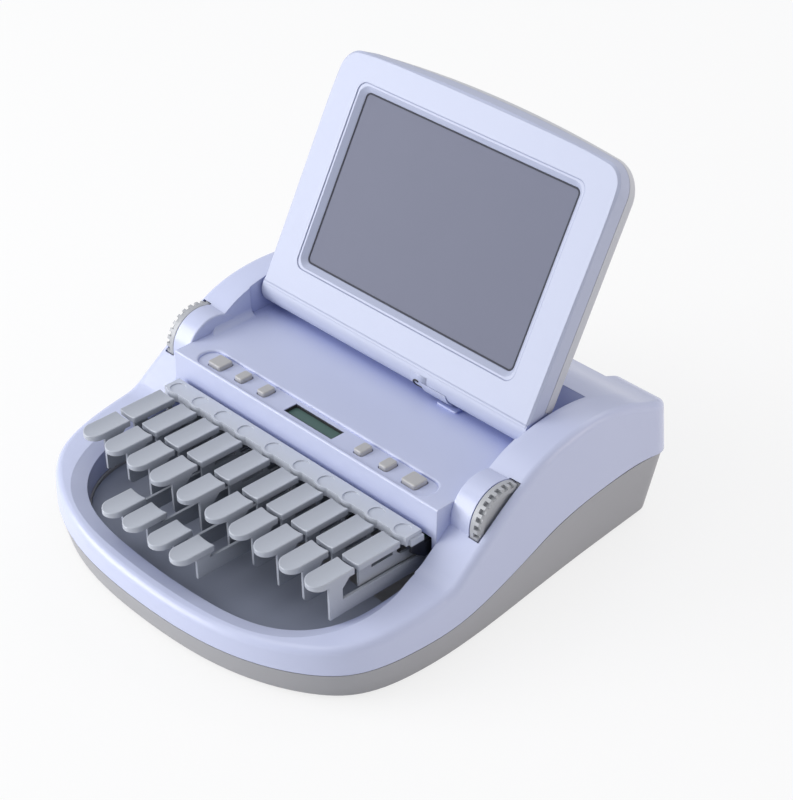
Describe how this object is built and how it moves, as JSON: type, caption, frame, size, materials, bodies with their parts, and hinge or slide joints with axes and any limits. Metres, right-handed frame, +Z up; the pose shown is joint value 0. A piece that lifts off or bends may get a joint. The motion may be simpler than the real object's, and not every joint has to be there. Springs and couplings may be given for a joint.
{
  "type": "stenotype machine",
  "caption": "Stenotype machine: hollow two-part housing, lever keys on one shaft, thumb keys, number bar, button panel, thumbwheels and a tilting screen.",
  "frame": {"origin": "on the table under the middle of the housing's outline", "axes": "+X to the writer's right, +Y to the back, +Z up"},
  "size_m": [0.2466, 0.2566, 0.1999],
  "materials": {
    "housing_upper": "fine satin moulding",
    "housing_lower": "fine matt moulding",
    "tray": "matt moulding",
    "foot_rubber": "matt",
    "steel": "turned",
    "brass_insert": "turned",
    "socket_black": "matt moulding",
    "circuit_board": "solder resist",
    "lcd_window": "polished",
    "lcd_module": "polished",
    "felt": "felt",
    "battery_wrap": "film wrap",
    "screen_frame": "fine satin moulding",
    "screen_rear": "fine satin moulding",
    "screen_glass": "anti-glare",
    "display_panel": "polarised film",
    "key_plastic": "satin moulding",
    "button_plastic": "satin moulding",
    "wheel_plastic": "matt moulding"
  },
  "bodies": {
    "housing": {"top_shell": "housing_upper", "base_shell": "housing_lower", "well_tray": "tray", "rubber_feet": "foot_rubber", "base_screws": "steel", "tripod_socket": "brass_insert", "jack_block": "socket_black", "panel_board": "circuit_board", "display_window": "lcd_window", "display_module": "lcd_module", "lever_shaft": "steel", "lever_frame": "steel", "stop_felt": "felt", "sensor_board": "circuit_board", "main_board": "circuit_board", "battery_pack": "battery_wrap", "wheel_axles": "steel", "hinge_pins": "steel", "cable_cover": "housing_upper"},
    "number_bar": {"number_bar": "key_plastic"},
    "upper_key_1": {"upper_key_1": "key_plastic"},
    "upper_key_2": {"upper_key_2": "key_plastic"},
    "upper_key_3": {"upper_key_3": "key_plastic"},
    "upper_key_4": {"upper_key_4": "key_plastic"},
    "upper_key_5": {"upper_key_5": "key_plastic"},
    "upper_key_6": {"upper_key_6": "key_plastic"},
    "upper_key_7": {"upper_key_7": "key_plastic"},
    "upper_key_8": {"upper_key_8": "key_plastic"},
    "upper_key_9": {"upper_key_9": "key_plastic"},
    "upper_key_10": {"upper_key_10": "key_plastic"},
    "lower_key_1": {"lower_key_1": "key_plastic"},
    "lower_key_2": {"lower_key_2": "key_plastic"},
    "lower_key_3": {"lower_key_3": "key_plastic"},
    "lower_key_4": {"lower_key_4": "key_plastic"},
    "lower_key_5": {"lower_key_5": "key_plastic"},
    "lower_key_6": {"lower_key_6": "key_plastic"},
    "lower_key_7": {"lower_key_7": "key_plastic"},
    "lower_key_8": {"lower_key_8": "key_plastic"},
    "lower_key_9": {"lower_key_9": "key_plastic"},
    "lower_key_10": {"lower_key_10": "key_plastic"},
    "thumb_key_1": {"thumb_key_1": "key_plastic"},
    "thumb_key_2": {"thumb_key_2": "key_plastic"},
    "thumb_key_3": {"thumb_key_3": "key_plastic"},
    "thumb_key_4": {"thumb_key_4": "key_plastic"},
    "button_1": {"button_1": "button_plastic"},
    "button_2": {"button_2": "button_plastic"},
    "button_3": {"button_3": "button_plastic"},
    "button_4": {"button_4": "button_plastic"},
    "button_5": {"button_5": "button_plastic"},
    "button_6": {"button_6": "button_plastic"},
    "wheel_left": {"wheel_left": "wheel_plastic"},
    "wheel_right": {"wheel_right": "wheel_plastic"},
    "screen": {"screen_bezel": "screen_frame", "screen_glass": "screen_glass", "display_panel": "display_panel", "screen_back": "screen_rear"}
  },
  "joints": [
    {"name": "upper_key_1_press", "type": "hinge", "parent": "housing", "child": "upper_key_1", "pos_m": [0, 0.022, 0.04], "axis": [1, 0, 0], "range_deg": [0, 3], "stiffness_Nm_per_rad": 0.2, "springref_deg": -6.88},
    {"name": "upper_key_2_press", "type": "hinge", "parent": "housing", "child": "upper_key_2", "pos_m": [0, 0.022, 0.04], "axis": [1, 0, 0], "range_deg": [0, 3], "stiffness_Nm_per_rad": 0.2, "springref_deg": -6.88},
    {"name": "upper_key_3_press", "type": "hinge", "parent": "housing", "child": "upper_key_3", "pos_m": [0, 0.022, 0.04], "axis": [1, 0, 0], "range_deg": [0, 3], "stiffness_Nm_per_rad": 0.2, "springref_deg": -6.88},
    {"name": "upper_key_4_press", "type": "hinge", "parent": "housing", "child": "upper_key_4", "pos_m": [0, 0.022, 0.04], "axis": [1, 0, 0], "range_deg": [0, 3], "stiffness_Nm_per_rad": 0.2, "springref_deg": -6.88},
    {"name": "upper_key_5_press", "type": "hinge", "parent": "housing", "child": "upper_key_5", "pos_m": [0, 0.022, 0.04], "axis": [1, 0, 0], "range_deg": [0, 3], "stiffness_Nm_per_rad": 0.2, "springref_deg": -6.88},
    {"name": "upper_key_6_press", "type": "hinge", "parent": "housing", "child": "upper_key_6", "pos_m": [0, 0.022, 0.04], "axis": [1, 0, 0], "range_deg": [0, 3], "stiffness_Nm_per_rad": 0.2, "springref_deg": -6.88},
    {"name": "upper_key_7_press", "type": "hinge", "parent": "housing", "child": "upper_key_7", "pos_m": [0, 0.022, 0.04], "axis": [1, 0, 0], "range_deg": [0, 3], "stiffness_Nm_per_rad": 0.2, "springref_deg": -6.88},
    {"name": "upper_key_8_press", "type": "hinge", "parent": "housing", "child": "upper_key_8", "pos_m": [0, 0.022, 0.04], "axis": [1, 0, 0], "range_deg": [0, 3], "stiffness_Nm_per_rad": 0.2, "springref_deg": -6.88},
    {"name": "upper_key_9_press", "type": "hinge", "parent": "housing", "child": "upper_key_9", "pos_m": [0, 0.022, 0.04], "axis": [1, 0, 0], "range_deg": [0, 3], "stiffness_Nm_per_rad": 0.2, "springref_deg": -6.88},
    {"name": "upper_key_10_press", "type": "hinge", "parent": "housing", "child": "upper_key_10", "pos_m": [0, 0.022, 0.04], "axis": [1, 0, 0], "range_deg": [0, 3], "stiffness_Nm_per_rad": 0.2, "springref_deg": -6.88},
    {"name": "lower_key_1_press", "type": "hinge", "parent": "housing", "child": "lower_key_1", "pos_m": [0, 0.022, 0.04], "axis": [1, 0, 0], "range_deg": [0, 2.4], "stiffness_Nm_per_rad": 0.25, "springref_deg": -6.88},
    {"name": "lower_key_2_press", "type": "hinge", "parent": "housing", "child": "lower_key_2", "pos_m": [0, 0.022, 0.04], "axis": [1, 0, 0], "range_deg": [0, 2.4], "stiffness_Nm_per_rad": 0.25, "springref_deg": -6.88},
    {"name": "lower_key_3_press", "type": "hinge", "parent": "housing", "child": "lower_key_3", "pos_m": [0, 0.022, 0.04], "axis": [1, 0, 0], "range_deg": [0, 2.4], "stiffness_Nm_per_rad": 0.25, "springref_deg": -6.88},
    {"name": "lower_key_4_press", "type": "hinge", "parent": "housing", "child": "lower_key_4", "pos_m": [0, 0.022, 0.04], "axis": [1, 0, 0], "range_deg": [0, 2.4], "stiffness_Nm_per_rad": 0.25, "springref_deg": -6.88},
    {"name": "lower_key_5_press", "type": "hinge", "parent": "housing", "child": "lower_key_5", "pos_m": [0, 0.022, 0.04], "axis": [1, 0, 0], "range_deg": [0, 2.4], "stiffness_Nm_per_rad": 0.25, "springref_deg": -6.88},
    {"name": "lower_key_6_press", "type": "hinge", "parent": "housing", "child": "lower_key_6", "pos_m": [0, 0.022, 0.04], "axis": [1, 0, 0], "range_deg": [0, 2.4], "stiffness_Nm_per_rad": 0.25, "springref_deg": -6.88},
    {"name": "lower_key_7_press", "type": "hinge", "parent": "housing", "child": "lower_key_7", "pos_m": [0, 0.022, 0.04], "axis": [1, 0, 0], "range_deg": [0, 2.4], "stiffness_Nm_per_rad": 0.25, "springref_deg": -6.88},
    {"name": "lower_key_8_press", "type": "hinge", "parent": "housing", "child": "lower_key_8", "pos_m": [0, 0.022, 0.04], "axis": [1, 0, 0], "range_deg": [0, 2.4], "stiffness_Nm_per_rad": 0.25, "springref_deg": -6.88},
    {"name": "lower_key_9_press", "type": "hinge", "parent": "housing", "child": "lower_key_9", "pos_m": [0, 0.022, 0.04], "axis": [1, 0, 0], "range_deg": [0, 2.4], "stiffness_Nm_per_rad": 0.25, "springref_deg": -6.88},
    {"name": "lower_key_10_press", "type": "hinge", "parent": "housing", "child": "lower_key_10", "pos_m": [0, 0.022, 0.04], "axis": [1, 0, 0], "range_deg": [0, 2.4], "stiffness_Nm_per_rad": 0.25, "springref_deg": -6.88},
    {"name": "thumb_key_1_press", "type": "hinge", "parent": "housing", "child": "thumb_key_1", "pos_m": [0, 0.022, 0.04], "axis": [1, 0, 0], "range_deg": [0, 1.9], "stiffness_Nm_per_rad": 0.3, "springref_deg": -6.88},
    {"name": "thumb_key_2_press", "type": "hinge", "parent": "housing", "child": "thumb_key_2", "pos_m": [0, 0.022, 0.04], "axis": [1, 0, 0], "range_deg": [0, 1.9], "stiffness_Nm_per_rad": 0.3, "springref_deg": -6.88},
    {"name": "thumb_key_3_press", "type": "hinge", "parent": "housing", "child": "thumb_key_3", "pos_m": [0, 0.022, 0.04], "axis": [1, 0, 0], "range_deg": [0, 1.9], "stiffness_Nm_per_rad": 0.3, "springref_deg": -6.88},
    {"name": "thumb_key_4_press", "type": "hinge", "parent": "housing", "child": "thumb_key_4", "pos_m": [0, 0.022, 0.04], "axis": [1, 0, 0], "range_deg": [0, 1.9], "stiffness_Nm_per_rad": 0.3, "springref_deg": -6.88},
    {"name": "number_bar_press", "type": "hinge", "parent": "housing", "child": "number_bar", "pos_m": [0, 0.022, 0.04], "axis": [1, 0, 0], "range_deg": [0, 3], "stiffness_Nm_per_rad": 0.5, "springref_deg": -6.88},
    {"name": "button_1_push", "type": "slide", "parent": "housing", "child": "button_1", "axis": [0, 0, -1], "range_m": [0, 0.001], "stiffness_N_per_m": 400, "springref_m": -0.0015},
    {"name": "button_2_push", "type": "slide", "parent": "housing", "child": "button_2", "axis": [0, 0, -1], "range_m": [0, 0.001], "stiffness_N_per_m": 400, "springref_m": -0.0015},
    {"name": "button_3_push", "type": "slide", "parent": "housing", "child": "button_3", "axis": [0, 0, -1], "range_m": [0, 0.001], "stiffness_N_per_m": 400, "springref_m": -0.0015},
    {"name": "button_4_push", "type": "slide", "parent": "housing", "child": "button_4", "axis": [0, 0, -1], "range_m": [0, 0.001], "stiffness_N_per_m": 400, "springref_m": -0.0015},
    {"name": "button_5_push", "type": "slide", "parent": "housing", "child": "button_5", "axis": [0, 0, -1], "range_m": [0, 0.001], "stiffness_N_per_m": 400, "springref_m": -0.0015},
    {"name": "button_6_push", "type": "slide", "parent": "housing", "child": "button_6", "axis": [0, 0, -1], "range_m": [0, 0.001], "stiffness_N_per_m": 400, "springref_m": -0.0015},
    {"name": "wheel_left_spin", "type": "hinge", "parent": "housing", "child": "wheel_left", "pos_m": [-0.114, 0.00215, 0.0571], "axis": [1, 0, 0], "continuous": true},
    {"name": "wheel_right_spin", "type": "hinge", "parent": "housing", "child": "wheel_right", "pos_m": [0.114, 0.00215, 0.0571], "axis": [1, 0, 0], "continuous": true},
    {"name": "screen_tilt", "type": "hinge", "parent": "housing", "child": "screen", "pos_m": [0, 0.04315, 0.0789], "axis": [1, 0, 0], "range_deg": [-34, 119]}
  ]
}
